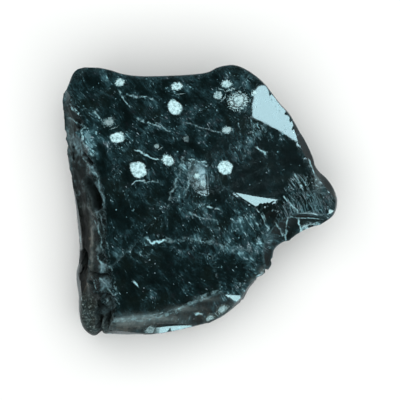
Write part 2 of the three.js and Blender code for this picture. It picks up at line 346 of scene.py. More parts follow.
def hollow_depth(points):
    """How much pits and cracks take away: (1 - (distance / half width)^2)^2 of their depth."""
    taken = np.zeros(points.shape[:-1])
    for first, last, width, depth in PITS:
        taken += depth * (1 - np.minimum(away_from(points, [first, last]) / width, 1) ** 2) ** 2
    whole, none = CRACK_FADE
    upper = np.clip((points[..., 2] - none) / (whole - none), 0, 1)
    for line, width, depth in CRACKS:
        ragged = width * (1 + 0.35 * noise(points, 0.6, 7))
        inside = 1 - np.minimum(away_from(points, line) / ragged, 1) ** 2
        taken += upper * depth * inside**2
    return taken


def crumbly(points):
    """How crumbly each point is: 1.4 less its distance from a lump over its radius, 0 to 1."""
    crumbs = np.zeros(points.shape[:-1])
    for *middle, radius in CRUMBLY:
        inside = np.clip(1.4 - np.linalg.norm(points - middle, axis=-1) / radius, 0, 1)
        crumbs = np.maximum(crumbs, inside)
    return crumbs


def plain_surface(azimuth, elevation):
    """Point without relief on each line out of the heart, its way, and its break.

    The line starts on a disc in the heart and ends at the nearest break. The break is given by
    its number, counted from 1, with 0 for the plain side. The last value is the gap to the
    next break along the line, which is 0 on a ridge. Where two breaks are within the blend of
    each other, the shorter line is cut down by the square of how near they are, so that the
    ridge is rounded.
    """
    azimuth, elevation = np.broadcast_arrays(azimuth, elevation)
    aside = np.stack([np.cos(azimuth), np.sin(azimuth), np.zeros(azimuth.shape)], -1)
    run = np.cos(elevation)[..., None]
    start = aside * HEART_RADIUS * run + (0, 0, HEART_HEIGHT)
    way = aside * run + np.sin(elevation)[..., None] * np.array([0, 0, 1])
    reach = side_reach(azimuth, elevation)
    nearest = reach.copy()
    second = np.full(reach.shape, FAR)
    number = np.zeros(reach.shape, int)
    for index, (blend, _, _, _, cuts) in enumerate(BREAKS):
        reaches = [cut_reach(centre, radius, start, way) for centre, radius, _ in cuts]
        found = np.max(reaches, axis=0)
        second = np.minimum(second, np.maximum(nearest, found))
        number = np.where(found < nearest, index + 1, number)
        nearest = np.minimum(nearest, found)
        near = np.maximum(blend - np.abs(reach - found), 0) / blend
        reach = np.minimum(reach, found) - near**2 * blend / 4
    return start + way * reach[..., None], way, number, second - nearest


# Small scars on the flank: how many, between which azimuths and elevations, how wide their
# spheres are, and how deep they cut.
SMALL_SCARS = 150
SCAR_AZIMUTHS = (140, 245)
SCAR_ELEVATIONS = (-20, 55)
SCAR_RADII = (2, 8)
SCAR_DEPTHS = (0.15, 0.6)


def small_scars():
    """Spheres that cut shallow scars into the flank, strewn by chance: x, y, z and radius."""
    chance = np.random.default_rng(5)
    azimuth = np.radians(chance.uniform(*SCAR_AZIMUTHS, SMALL_SCARS))
    elevation = np.radians(chance.uniform(*SCAR_ELEVATIONS, SMALL_SCARS))
    radius = chance.uniform(*SCAR_RADII, SMALL_SCARS)
    depth = chance.uniform(*SCAR_DEPTHS, SMALL_SCARS)
    points, way, _, _ = plain_surface(azimuth, elevation)
    centres = points + way * (radius - depth)[:, None]
    return np.column_stack([centres, radius])


FLANK_SCARS = small_scars()

# What each break is like, by its number, with the plain side first: where its blow fell, how
# rough it is, how strong its streaks are, and whether it is steep. It is steep where its first
# cut is tilted by more than on the face and by less than on the back.
STEEP_TILTS = (29, 150)
STRIKES = np.array([(0, 0)] + [strike for _, strike, _, _, _ in BREAKS], float)
ROUGH = np.array([0.1] + [rough for _, _, rough, _, _ in BREAKS])
STREAKS = np.array([0.5] + [streaks for _, _, _, streaks, _ in BREAKS])
STEEP = np.array([True] + [STEEP_TILTS[0] < cuts[0][2] < STEEP_TILTS[1] for *_, cuts in BREAKS])
# Keeps the patterns of two breaks apart, so that none runs on over a ridge.
BREAK_GAP = 7.3
# About how far the side is from the middle.
SIDE_RADIUS = 25


def scarred(points):
    """Depth of the deepest small scar at each point, its number, and the gap to the next."""
    deepest = np.zeros(points.shape[:-1])
    second = np.zeros(points.shape[:-1])
    owner = np.zeros(points.shape[:-1], int)
    for index, (*centre, radius) in enumerate(FLANK_SCARS):
        depth = radius - np.linalg.norm(points - centre, axis=-1)
        second = np.maximum(second, np.minimum(deepest, depth))
        owner = np.where(depth > deepest, index + 1, owner)
        deepest = np.maximum(deepest, depth)
    return deepest, owner, deepest - second


def layered(points, layers, seed):
    """Sum of noise at several sizes. Each layer is a size and a height, in mm."""
    return sum(
        height * noise(points, size, seed + layer) for layer, (size, height) in enumerate(layers)
    )


def along_grain(points, number):
    """Place in the grain of each break: across its streaks, along them, and apart by break.

    The streaks run straight away from the place of the blow, so across is the angle round it
    times the mean distance; on the steep sides they run down instead. Noise bends them.
    """
    away = points[..., :2] - STRIKES[number]
    distance = np.hypot(away[..., 0], away[..., 1])
    angle = np.arctan2(away[..., 1], away[..., 0])
    mean = np.array([
        distance[number == n].mean() if (number == n).any() else 0 for n in range(len(STRIKES))
    ])
    round_side = np.arctan2(points[..., 1], points[..., 0]) * SIDE_RADIUS
    steep = STEEP[number]
    bend = layered(points, [(5, 0.9), (2, 0.3)], 31)
    across = np.where(steep, round_side, angle * mean[number]) + bend
    down = np.where(steep, points[..., 2], distance)
    return np.stack([across, down, number * BREAK_GAP], -1)


# Sizes and heights of the fine relief, in mm. The ripples turn by this many radians in each mm.
RIPPLE_HEIGHT, RIPPLE_TURN = 0.008, 2.6
SWELL_SIZE, SWELL_HEIGHT = 6, 0.03
STREAK_LAYERS = [(0.7, 0.03), (0.35, 0.015)]
CRUSHED_LAYERS = [(3.6, 0.3), (1.7, 0.14), (0.9, 0.08), (0.5, 0.05)]
CRUMB_LAYERS = [(0.9, 0.28), (0.45, 0.12)]
CHIP_SIZE, CHIP_REACH = 1.3, 0.3
LEVEL_BACK = 0.02


def relief(points, number, gap):
    """Height that the fine relief takes away, in mm.

    Ripples run round the place of the blow: a sine of the distance from it. Streaks run
    straight away from it: noise that is drawn out along them. The flank has small scars, the
    caps that spheres cut off it, and is crushed: sums of noise at ever finer sizes. Crumbly
    lumps have coarse grains. Steep ridges are chipped where noise is high.
    """
    away = points[..., :2] - STRIKES[number]
    distance = np.hypot(away[..., 0], away[..., 1])
    wave = np.sin(distance * RIPPLE_TURN + 3 * noise(points, 7, 1))
    ripples = RIPPLE_HEIGHT * wave * (0.6 + 0.4 * noise(points, 9, 2))
    swell = SWELL_HEIGHT * noise(points, SWELL_SIZE, 3)
    drawn_out = (1, 0.12, 1)
    grain = along_grain(points, number) * drawn_out
    streaks = STREAKS[number] ** 2 * layered(grain, STREAK_LAYERS, 4)
    scars, _, _ = scarred(points)
    crushed = layered(points, CRUSHED_LAYERS, 10)
    grains = crumbly(points) * layered(points, CRUMB_LAYERS, 41)
    near_ridge = np.exp(-((gap / CHIP_REACH) ** 2))
    chipped = (0.08 + 0.37 * ROUGH[number]) * STEEP[number]
    chips = chipped * near_ridge * np.maximum(noise(points, CHIP_SIZE, 21) - 0.2, 0)
    fine = ripples + swell + streaks + ROUGH[number] * (scars + crushed) + grains + chips
    return np.where(points[..., 2] < LEVEL_BACK, 0, fine)


def surface(azimuth, elevation):
    """Point of the surface on each line out of the heart, its break, gap and hollow depth."""
    points, way, number, gap = plain_surface(azimuth, elevation)
    hollow = hollow_depth(points)
    taken = hollow + relief(points, number, gap)
    return points - way * taken[..., None], number, gap, hollow


def ring_elevations():
    """Elevations spread along the profile of a plain block, closer on its upper face."""
    block_radius, block_top = SIDE_RADIUS, 11
    top_share, side_share, back_share = 1, 0.55, 0.25
    samples = 4001
    elevation = np.linspace(math.pi / 2, -math.pi / 2, samples)[1:-1]
    up, run = np.sin(elevation), np.cos(elevation)
    with np.errstate(divide="ignore"):
        to_end = np.where(up > 0, block_top, HEART_HEIGHT) / np.abs(up)
    to_side = (block_radius - HEART_RADIUS * run) / run
    reach = np.minimum(to_end, to_side)
    spot = np.stack([(HEART_RADIUS + reach) * run, reach * up], -1)
    share = np.where(to_side < to_end, side_share, np.where(up > 0, top_share, back_share))
    steps = np.linalg.norm(np.diff(spot, axis=0), axis=-1) * share[1:]
    walked = np.concatenate([[0], np.cumsum(steps)])
    pole_gap = 0.9
    wanted = walked[-1] * (np.arange(RINGS) + pole_gap) / (RINGS - 1 + 2 * pole_gap)
    return np.interp(wanted, walked, elevation)


def around(values):
    """The four samples round each corner of the surface: two rings, two columns."""
    beside = np.roll(values, -1, axis=1)
    return np.stack([values[:-1], values[1:], beside[:-1], beside[1:]], 2)


# Half width of the worn part of a ridge.
RIDGE_WIDTH = 0.25


def lump():
    """Corners, quads and end triangles of the lump, and break, ridge and hollow of each.

    A corner lies as near as it can to the tangent planes of its four samples, by least
    squares about their mean, so it falls on the ridge where breaks cross. A weak hold keeps it
    by the mean where the samples lie in one plane. How much a corner is on a ridge is a bell
    curve of its distance from it, the gap over the slope of the gap. It falls to nothing where
    the slope is small, as such a ridge is hardly an edge.
    """
    azimuth = (np.arange(COLUMNS) + 0.5)[None, :] / COLUMNS * 2 * math.pi
    elevation = ring_elevations()[:, None]
    nudge = 2e-4
    least_slope = 0.03
    hold = 0.05
    points, number, gap, hollow = surface(azimuth, elevation)
    beside, _, gap_beside, _ = surface(azimuth + nudge, elevation)
    above, _, gap_above, _ = surface(azimuth, elevation + nudge)
    sideways, upwards = beside - points, above - points
    normals = np.cross(sideways, upwards)
    normals /= np.linalg.norm(normals, axis=-1, keepdims=True)
    slope = np.hypot(
        (gap_beside - gap) / np.linalg.norm(sideways, axis=-1),
        (gap_above - gap) / np.linalg.norm(upwards, axis=-1),
    )
    ridge = np.exp(-((gap / (RIDGE_WIDTH * np.maximum(slope, least_slope))) ** 2))
    ridge *= np.clip((slope - 0.3) / 0.4, 0, 1)

    near_points, near_normals = around(points), around(normals)
    middle = near_points.mean(2)
    gaps = (near_normals * (near_points - middle[:, :, None])).sum(-1)
    squares = np.einsum("rcki,rckj->rcij", near_normals, near_normals) + hold * np.eye(3)
    pulls = np.einsum("rcki,rck->rci", near_normals, gaps)
    steps = np.linalg.solve(squares, pulls[..., None])[..., 0]
    spread = np.linalg.norm(near_points - middle[:, :, None], axis=-1).max(-1)
    length = np.linalg.norm(steps, axis=-1)
    steps *= np.minimum(1, spread / np.maximum(length, 1e-9))[..., None]
    corners = (middle + steps).reshape(-1, 3)
    corners[:, 2] = np.maximum(corners[:, 2], 0)

    pole = np.array([0.0])
    top, top_number, _, _ = surface(pole, pole + math.pi / 2)
    bottom, bottom_number, _, _ = surface(pole, pole - math.pi / 2)
    rows = (np.arange(RINGS - 2) * COLUMNS)[:, None]
    columns = np.arange(COLUMNS)[None, :]
    beside = (columns + 1) % COLUMNS
    quads = np.stack(
        [rows + columns, rows + COLUMNS + columns, rows + COLUMNS + beside, rows + beside], -1
    ).reshape(-1, 4)
    top_index, bottom_index = len(corners), len(corners) + 1
    last_row = (RINGS - 2) * COLUMNS
    columns, beside = columns[0], beside[0]
    ends = np.concatenate([
        np.stack([np.full(COLUMNS, top_index), columns, beside], -1),
        np.stack([np.full(COLUMNS, bottom_index), last_row + beside, last_row + columns], -1),
    ])
    numbers = np.concatenate([number[:-1].ravel(), top_number, bottom_number])
    ridges = np.concatenate([around(ridge).mean(2).ravel(), [0, 0]])
    hollows = np.concatenate([around(hollow).mean(2).ravel(), [0, 0]])
    return np.vstack([corners, top, bottom]), quads, ends, numbers, ridges, hollows


def fitted(points, box):
    """Points moved and stretched, by less than a hundredth, to fill the box of the solid."""
    low, high = np.array(box[0]), np.array(box[1])
    size = points.max(0) - points.min(0)
    return (points - points.min(0)) / size * (high - low) + low


corners, quads, ends, numbers, ridges, hollows = lump()
places = fitted(corners, frame_box)

SHARP_ANGLE = 32
mesh = bpy.data.meshes.new("obsidian_glass")
loops = np.concatenate([quads.ravel(), ends.ravel()])
sizes = np.concatenate([np.full(len(quads), 4), np.full(len(ends), 3)])
starts = np.concatenate([[0], np.cumsum(sizes)[:-1]])
mesh.vertices.add(len(places))
mesh.vertices.foreach_set("co", places.ravel())
mesh.loops.add(len(loops))
mesh.loops.foreach_set("vertex_index", loops)
mesh.polygons.add(len(sizes))
mesh.polygons.foreach_set("loop_start", starts)
mesh.update(calc_edges=True)
mesh.validate()
mesh.shade_smooth()
mesh.set_sharp_from_angle(angle=math.radians(SHARP_ANGLE))
stone = bpy.data.objects.new("obsidian_glass", mesh)
scene.collection.objects.link(stone)
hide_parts("obsidian")
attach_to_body(stone, "root")

# Obsidian, its snowflakes.
# Balls of white crystal that grew in the glass while it cooled. The breaks cut them flush,
# so each shows as a pale round spot.

# On the upper face: x, y, radius, how tall it is for its width, how far it is turned, how
# ragged its rim is, and how pale it is. All marks are told from the middle of the picture,
# which is a little off the middle of the lump.
PICTURE_MIDDLE = (0.2, 0.2, 0)
FLAKES = [
    (-15.8, 23.4, 0.95, 0.8, 20, 0.6, 0.9),
    (-4.5, 22.6, 1.2, 0.7, 10, 0.6, 0.95),
    (-5.0, 18.5, 1.6, 0.9, -50, 0.12, 1.0),
    (-16.3, 12.5, 1.5, 0.72, 0, 0.25, 1.0),
    (-12.2, 6.1, 1.85, 0.85, -35, 0.12, 1.0),
    (-6.3, 8.0, 1.3, 0.75, -30, 0.7, 1.0),
    (5.1, 6.6, 1.5, 0.97, 0, 0.05, 1.0),
    (5.4, 23.1, 1.1, 0.7, 0, 0.9, 0.85),
    (3.6, 20.9, 0.9, 0.85, 0, 0.4, 0.65),
    (7.6, 19.7, 1.9, 0.85, 20, 1.6, 0.75),
    (10.9, 21.4, 0.4, 1.0, 0, 0.3, 0.9),
    (5.3, 14.0, 0.95, 0.75, 10, 1.19, 0.6),
    (-8.5, 10.8, 0.55, 0.8, 20, 1.1, 0.4),
    (-2.7, 12.2, 0.6, 0.9, 0, 1.0, 0.22),
    (-18.0, 15.6, 1.1, 0.8, 30, 1.19, 0.42),
    # Crumbs on the front edge, then painted glints: white spots at the tip and in the wedge, drawn
    # as small crystals.
    (-9.7, -25.8, 1.2, 0.8, 0, 1.15, 0.45),
    (4.6, -21.5, 1.0, 0.7, 35, 1.1, 0.6),
    (2.0, -23.4, 0.8, 0.7, 20, 1.1, 0.6),
    (26.0, -2.2, 0.5, 0.8, 40, 0.6, 0.9),
    (20.2, -6.2, 0.4, 0.9, 60, 0.6, 0.8),
    (-0.5, 4.9, 0.6, 1.1, 30, 1.15, 0.8),
    (0.7, 3.4, 0.5, 1.4, 15, 1.15, 0.5),
]
SIDE_FLAKES = 34
SIDE_FLAKE_RADII = (0.4, 1.7)
LEAST_APART = 1.5
# The upper face lies above the first height, and the sides reach up to the second.
FACE_BOTTOM, SIDE_TOP = 12, 13


def flake_list(corners):
    """Flakes as rows of place, radius, tallness, turn, raggedness and paleness.

    Those of the upper face are put on its surface, and chance adds more on sides and back. A
    corner counts by its distance from the middle, as corners lie closer together there.
    """
    upper = corners[corners[:, 2] > FACE_BOTTOM]
    rows = []
    for x, y, *looks in FLAKES:
        nearest = np.argmin((upper[:, 0] - x) ** 2 + (upper[:, 1] - y) ** 2)
        rows.append((x, y, upper[nearest, 2], *looks))
    chance = np.random.default_rng(11)
    lower = corners[corners[:, 2] < SIDE_TOP]
    room = np.hypot(lower[:, 0], lower[:, 1])
    least, most = SIDE_FLAKE_RADII
    while len(rows) < len(FLAKES) + SIDE_FLAKES:
        spot = chance.choice(lower, p=room / room.sum())
        radius = least + (most - least) * chance.random() ** 2
        gaps = [np.linalg.norm(spot - row[:3]) - row[3] for row in rows]
        if min(gaps) > radius + LEAST_APART:
            ragged = chance.random() * 0.8
            rows.append((*spot, radius, 1.0, 0.0, ragged, 0.9))
    return np.array(rows)


# How far a flake's own pattern can reach, in radii.
FLAKE_REACH = 2.2


def flake_places(corners, flakes):
    """Offset of each corner from its nearest flake in radii, and that flake's looks.

    The first of the looks fades from 1 to 0 where the flake ends or the next one is as near.
    """
    offsets = (corners[:, None, :] - flakes[None, :, :3]) / flakes[None, :, 3:4]
    turn = np.radians(flakes[:, 5])
    cos, sin = np.cos(turn)[None, :], np.sin(turn)[None, :]
    along = offsets[..., 0] * cos + offsets[..., 1] * sin
    across = (offsets[..., 1] * cos - offsets[..., 0] * sin) / flakes[None, :, 4]
    offsets[..., 0], offsets[..., 1] = along, across
    distances = np.linalg.norm(offsets, axis=-1)
    nearest = distances.argmin(1)
    closest, second = np.partition(distances, 1, axis=1)[:, :2].T
    row = np.arange(len(corners))
    ending = np.clip((FLAKE_REACH - closest) / 0.4, 0, 1)
    near = ending * np.clip((second - closest) / 0.3, 0, 1)
    return offsets[row, nearest], np.column_stack([near, flakes[nearest, 6], flakes[nearest, 7]])


def attach(name, values):
    """Store a value or a vector at each corner of the mesh, for its material to read."""
    kind, field = ("FLOAT", "value") if values.ndim == 1 else ("FLOAT_VECTOR", "vector")
    data = mesh.attributes.new(name, kind, "POINT").data
    data.foreach_set(field, values.ravel().astype(np.float32))


from_picture = corners - PICTURE_MIDDLE
flake_offset, flake_looks = flake_places(from_picture, flake_list(from_picture))
attach("flake", flake_offset)
attach("flake_looks", flake_looks)

# Obsidian, where its glass is pale, dark, brown or scored.
# The glass isn't even: it is clouded inside, dusty outside, and brown where it is thin. Blows
# left bright scores in it, and wear has dulled its ridges. Some of it is painted light: shade
# in the hollows, glints in the wedge, and a highlight on the ridge above the front bevel.

# Light and dark clouds: x, y, half width, half height, and strength, below 0 for dark ones.
CLOUDS = [
    # On the upper face.
    (-9.5, 20.0, 1.9, 1.1, 0.5),
    (-9.3, 15.0, 1.9, 1.1, 0.6),
    (-11.3, 11.6, 1.5, 2.1, 0.6),
    (-9.9, 9.4, 1.9, 1.0, 0.6),
    (-0.3, 13.4, 1.5, 1.5, 0.4),
    (1.7, 11.0, 1.3, 1.3, 0.5),
    (9.5, 14.0, 2.6, 1.7, 0.5),
    (12.5, 10.0, 0.9, 1.3, 0.6),
    (-16.1, 2.0, 1.5, 1.3, 0.5),
    (-4.9, 2.0, 1.1, 2.6, 0.4),
    # The wedge: pale mottled clouds as painted glints off its broken glass.
    (0.1, 5.8, 1.4, 2.4, 1.1),
    (0.2, 5.2, 0.7, 2.0, 1.1),
    (-2.2, 5.6, 0.8, 2.2, 0.6),
    (-3.6, 4.6, 1.6, 3.4, 0.5),
    (0.7, -1.0, 1.8, 1.7, 0.5),
    (-1.9, 0.0, 3.0, 3.0, 0.3),
    (7.3, -2.6, 1.2, 1.1, 0.2),
    (3.0, -4.5, 8.0, 3.2, 0.45),
    (8.6, -6.0, 3.6, 3.6, 0.35),
    (11.7, -9.5, 1.5, 2.2, 0.7),
    (-8.9, -8.3, 2.1, 0.7, 0.8),
    (2.1, -7.8, 3.2, 0.9, 0.6),
    (-2.9, -7.8, 3.0, 0.7, 0.3),
    (5.1, -10.0, 3.0, 1.3, 0.6),
    (8.5, -13.0, 3.4, 3.0, 0.5),
    (2.9, -12.4, 1.1, 2.6, 0.5),
    (12.5, -8.0, 1.7, 3.2, 0.6),
    (-1.9, -16.8, 1.1, 1.1, 0.5),
    (24.1, 3.4, 1.6, 2.4, 0.6),
    (19.5, 3.4, 2.0, 1.6, 0.4),
    (19.8, -4.8, 2.6, 1.6, -0.9),
    (-13.9, 19.0, 3.8, 3.0, -0.6),
    (-20.9, 20.6, 2.0, 1.6, 0.2),
    (18.1, 8.0, 4.6, 3.8, -1.1),
    (10.0, 2.6, 5.0, 2.2, -0.7),
    (14.0, 5.0, 3.0, 2.0, -0.4),
    (-15.9, -1.0, 2.6, 2.4, -0.4),
    (7.1, -15.0, 2.6, 2.6, -0.4),
    (-9.9, -15.5, 7.0, 5.0, -0.5),
    (-13.9, -21.0, 3.0, 2.0, -0.3),
    (14.3, -2.8, 2.4, 1.6, -0.9),
    (9.3, 21.6, 2.0, 1.9, -0.7),
    (-15.7, -22.6, 0.8, 1.2, 1.2),
    # On the left flank and its ridge.
    (-21.7, 12.8, 1.9, 2.2, 1.9),
    (-20.9, 17.2, 1.3, 0.7, 1.0),
    (-20.5, 9.2, 0.8, 0.6, 1.0),
    (-21.5, 6.2, 0.9, 1.3, 1.2),
    (-23.1, 2.4, 0.5, 1.2, 1.2),
    (-22.9, -1.4, 0.9, 1.0, 1.4),
    (-20.5, -2.0, 0.5, 0.7, 2.0),
    (-19.1, -0.4, 0.4, 0.9, 1.5),
    (-20.5, -5.0, 0.6, 2.0, 0.8),
    (-20.1, -9.2, 0.6, 0.8, 1.5),
    (-19.7, -13.4, 0.9, 0.9, 1.8),
    (-18.7, -16.6, 0.8, 1.4, 0.9),
    (-19.9, -20.0, 0.8, 1.0, 0.2),
    (-21.0, -12.0, 2.4, 9.0, -0.6),
    (-18.1, -22.8, 0.5, 0.6, 1.5),
    (-22.7, -20.6, 0.5, 1.2, 0.9),
    (-21.4, -8.6, 0.5, 6.0, 1.5),
    (-22.3, -17.6, 0.5, 2.4, 1.3),
    (-23.2, -6.0, 0.9, 3.5, -0.8),
    (-23.4, -17.0, 0.8, 4.0, -0.8),
    (-25.1, 4.0, 0.8, 3.0, -0.6),
    (-25.5, 11.6, 1.1, 4.5, 1.2),
    (-26.7, 20.4, 1.1, 1.2, 1.4),
    (-22.3, -24.4, 1.5, 2.0, -0.6),
    # Along the front edge.
    (-8.0, -23.4, 5.0, 0.7, 0.3),
    (4.8, -22.0, 0.8, 0.9, 1.8),
    (2.4, -23.5, 0.8, 0.6, 1.8),
    (0.1, -22.6, 0.6, 0.4, 1.5),
    (7.6, -20.5, 0.8, 0.6, 1.3),
]

# Smooth grey dust: x, y, half width, half height, and strength.
VEILS = [
    (-14.0, -24.2, 4.4, 1.2, 0.8),
    (-8.0, -23.4, 4.6, 0.8, 0.7),
    (-2.6, -21.6, 3.2, 0.7, 0.55),
    (1.4, -19.6, 2.4, 0.5, 0.4),
    (-21.5, -8.6, 0.5, 6.0, 0.6),
    (-22.3, -18.0, 0.5, 2.4, 0.5),
    (-25.8, 14.0, 0.8, 5.0, 0.2),
    (23.6, 8.4, 0.7, 5.2, 0.7),
    (12.7, -14.5, 0.8, 1.2, 0.5),
    (10.7, -16.5, 0.8, 1.2, 0.5),
    (9.0, -18.9, 0.7, 1.0, 0.5),
    (6.9, -20.9, 1.0, 0.7, 0.5),
]

# Warm brown, where the glass is thin or dusty: x, y, half width, half height, and strength.
BROWN = [
    (27.0, 1.0, 1.0, 3.0, 1.0),
    (23.2, 8.6, 0.8, 5.0, 0.45),
    (14.4, -2.8, 2.2, 1.8, 0.6),
    (20.4, -6.9, 2.6, 0.7, 0.7),
    (10.4, -16.8, 3.0, 1.2, 0.3),
    (-22.6, -8.0, 1.9, 7.5, 1.1),
    (-23.2, -17.6, 1.4, 3.4, 1.1),
    (-26.0, 8.0, 1.0, 6.0, 0.2),
    (-19.7, -25.2, 1.2, 1.6, 0.9),
    (-8.0, -24.5, 6.0, 0.7, 0.5),
    (-14.0, -25.4, 4.0, 0.9, 0.5),
    (-0.6, -22.6, 2.6, 1.3, 0.8),
    (12.4, -14.6, 1.6, 2.0, 0.5),
]

# Bright scores, worn ridges and one painted ridge highlight: half width, strength, and the
# points that each runs through.
SCORES = [
    # On the upper face.
    (0.22, 1.0, [(-12.5, 10.0), (-11.3, 9.4), (-9.9, 8.6), (-8.5, 8.2)]),
    (0.2, 0.9, [(-13.3, 3.4), (-12.7, 3.9), (-11.3, 3.9)]),
    (0.18, 0.6, [(-10.7, 3.5), (-9.2, 3.9), (-8.4, 3.7)]),
    (0.2, 0.7, [(-15.9, 21.4), (-14.9, 19.6), (-13.9, 18.8)]),
    (0.26, 0.7, [(-13.9, 20.8), (-12.1, 20.4), (-10.5, 20.6), (-9.5, 20.2)]),
    (0.26, 0.7, [(-11.9, 16.2), (-9.9, 15.4), (-8.3, 14.6)]),
    (0.22, 1.1, [(-12.8, -16.3), (-12.4, -16.8)]),
    (0.34, 1.2, [(-10.0, -8.1), (-9.5, -8.6), (-8.5, -8.3), (-7.4, -8.1)]),
    (0.7, 0.4, [
        (-6.9, -7.5), (-3.9, -7.9), (0.1, -8.1), (3.1, -8.3), (4.5, -9.1), (8.1, -9.7), (10.1, -9.9),
    ]),
    (0.4, 0.25, [(2.7, -9.1), (2.7, -12.5), (3.3, -15.1), (4.5, -18.1)]),
    (0.42, 0.5, [(-3.1, 8.6), (-3.9, 6.0), (-5.1, 3.0), (-6.3, -0.6)]),
    (0.36, 0.4, [(-1.9, 8.0), (-2.3, 5.6), (-2.1, 3.0), (-3.1, 0.8)]),
    (0.24, 0.9, [(-1.9, 8.2), (-0.5, 7.9), (0.9, 7.7)]),
    (0.24, 0.8, [(1.7, -1.2), (3.5, -1.7)]),
    (0.2, 0.6, [(-1.9, -2.4), (0.1, -3.4), (3.1, -3.8)]),
    (0.26, 0.9, [(11.7, 10.2), (12.7, 9.5)]),
    (0.16, 0.6, [(-2.9, 15.6), (0.1, 14.6), (4.1, 13.4)]),
    (0.16, 0.7, [(-8.5, 15.4), (-6.1, 13.8)]),
    # On the tip and in the step beside it, by the bright facet, and along the right rim.
    (0.12, 0.4, [(18.1, -2.2), (21.1, -2.4), (23.7, -1.8), (25.9, -1.4)]),
    (0.1, 0.8, [(18.1, -3.3), (20.1, -3.5), (24.1, -3.7)]),
    (0.2, 0.9, [(17.5, -3.6), (17.3, -5.4), (17.0, -7.6)]),
    (0.2, 1.2, [(19.7, -4.2), (19.9, -5.0), (20.2, -6.0)]),
    (0.14, 0.6, [(20.9, -5.4), (22.7, -4.6), (24.1, -4.2)]),
    (0.12, 0.6, [(21.3, -6.0), (22.7, -5.4), (24.1, -4.8)]),
    (0.3, 0.4, [(8.9, 18.0), (11.3, 22.6)]),
    (0.2, 0.35, [(10.1, 17.6), (12.0, 21.2)]),
    (0.16, 0.4, [(7.7, 22.2), (9.7, 24.8)]),
    (0.14, 0.9, [(16.7, 0.7), (18.5, -1.0), (19.7, -2.2)]),
    (0.14, 0.7, [(17.3, 0.3), (18.7, -2.0)]),
    (0.14, 0.8, [(11.1, -1.6), (12.5, -3.4), (13.7, -5.6)]),
    (0.14, 0.6, [(12.1, -1.6), (13.1, -3.8), (14.1, -5.8)]),
    (0.16, 0.8, [(15.1, -4.6), (15.9, -5.8), (16.5, -7.0)]),
    (0.14, 0.6, [(9.1, -3.4), (10.9, -6.0)]),
    (0.14, 0.5, [(10.1, -2.4), (12.5, -6.6)]),
    (0.16, 0.7, [(18.7, 5.2), (20.3, 3.0)]),
    (0.16, 0.8, [(19.7, 3.4), (20.3, 2.4)]),
    (0.2, 0.6, [(22.3, 3.6), (23.3, 3.0)]),
    (0.12, 1.2, [(21.7, 8.0), (22.5, 6.0), (23.1, 4.4)]),
    # On the left flank and its ridge.
    (0.24, 1.1, [(-25.6, 18.8), (-24.8, 17.8), (-24.0, 17.2)]),
    (0.24, 0.8, [(-26.1, 16.4), (-24.7, 15.8), (-23.1, 14.6)]),
    (0.24, 0.9, [(-23.3, 14.0), (-23.3, 12.0), (-22.3, 10.2), (-21.5, 9.4)]),
    (0.2, 0.8, [(-20.7, 17.4), (-19.3, 15.6)]),
    (0.22, 0.65, [(-23.3, 8.6), (-22.3, 7.2), (-21.5, 6.0), (-20.5, 5.2), (-19.9, 4.4)]),
    (0.2, 0.65, [(-20.1, 4.2), (-19.8, 2.0), (-19.0, 0.6), (-19.1, -0.8)]),
    (0.18, 0.4, [(-19.7, -3.0), (-18.7, -7.0), (-18.1, -10.0), (-17.5, -13.4), (-16.9, -16.0)]),
    (0.24, 0.6, [(-20.7, -4.4), (-19.7, -7.2), (-19.3, -9.6)]),
    (0.24, 0.7, [(-20.1, -11.6), (-18.9, -13.2)]),
    (0.2, 0.6, [(-21.3, -15.6), (-20.3, -18.2)]),
    (0.24, 0.6, [(-19.7, -15.4), (-17.9, -17.6), (-16.3, -20.0)]),
    (0.24, 0.45, [(-16.9, -17.0), (-16.1, -19.0), (-16.1, -20.6)]),
    # Along the front edge: a painted highlight on the ridge above the bevel, and a short score.
    (0.4, 0.5, [(-17.1, -24.0), (-10.5, -23.6), (-5.8, -22.6), (-1.3, -20.2), (3.7, -17.9)]),
    (0.2, 1.2, [(-0.6, -22.5), (0.3, -22.7)]),
]

# Hairs on the hackles of the tip: where each starts, and the way that all of them run.
HAIRS = [
    (16.9, 2.4), (17.5, 3.6), (18.2, 4.6), (19.1, 4.2), (19.9, 5.2), (20.6, 4.2), (21.4, 4.8),
    (22.1, 3.7), (22.9, 4.1), (23.6, 3.1), (24.3, 2.6), (18.6, 1.2), (19.8, 0.6), (21.2, 0.4),
]
HAIR_RUN = (1.5, -2.4)
for x, y in HAIRS:
    SCORES.append((0.08, 0.4, [(x, y), (x + HAIR_RUN[0], y + HAIR_RUN[1])]))

# Where the streaks are strongest: x, y, half width, half height, and strength.
HACKLES = [(20.4, 3.0, 4.4, 3.2, 0.65)]


def clouded(corners, clouds):
    """Sum over the clouds of strength times a bell curve of the distance in their half sizes."""
    total = np.zeros(len(corners))
    for x, y, width, height, strength in clouds:
        away = ((corners[:, 0] - x) / width) ** 2 + ((corners[:, 1] - y) / height) ** 2
        total += strength * np.exp(-away)
    return total


# Offsets from a score go no further than this, in half widths.
FAR_OFF = 9.0


def scored(corners):
    """Offset of each corner sideways from its nearest score in half widths, and its strength.

    The strength fades out around the score as a bell curve of the distance.
    """
    offset = np.full(len(corners), FAR_OFF)
    strengths = np.zeros(len(corners))
    for width, strength, line in SCORES:
        for first, last in zip(np.array(line[:-1]), np.array(line[1:])):
            run = (last - first) / np.linalg.norm(last - first)
            beside = corners[:, :2] - first
            sideways = (beside[:, 0] * run[1] - beside[:, 1] * run[0]) / width
            fade = 2.2 * width + 0.15
            here = strength * np.exp(-((away_from(corners, [first, last]) / fade) ** 2))
            offset = np.where(here > strengths, sideways, offset)
            strengths = np.maximum(strengths, here)
    return np.clip(offset, -FAR_OFF, FAR_OFF), strengths


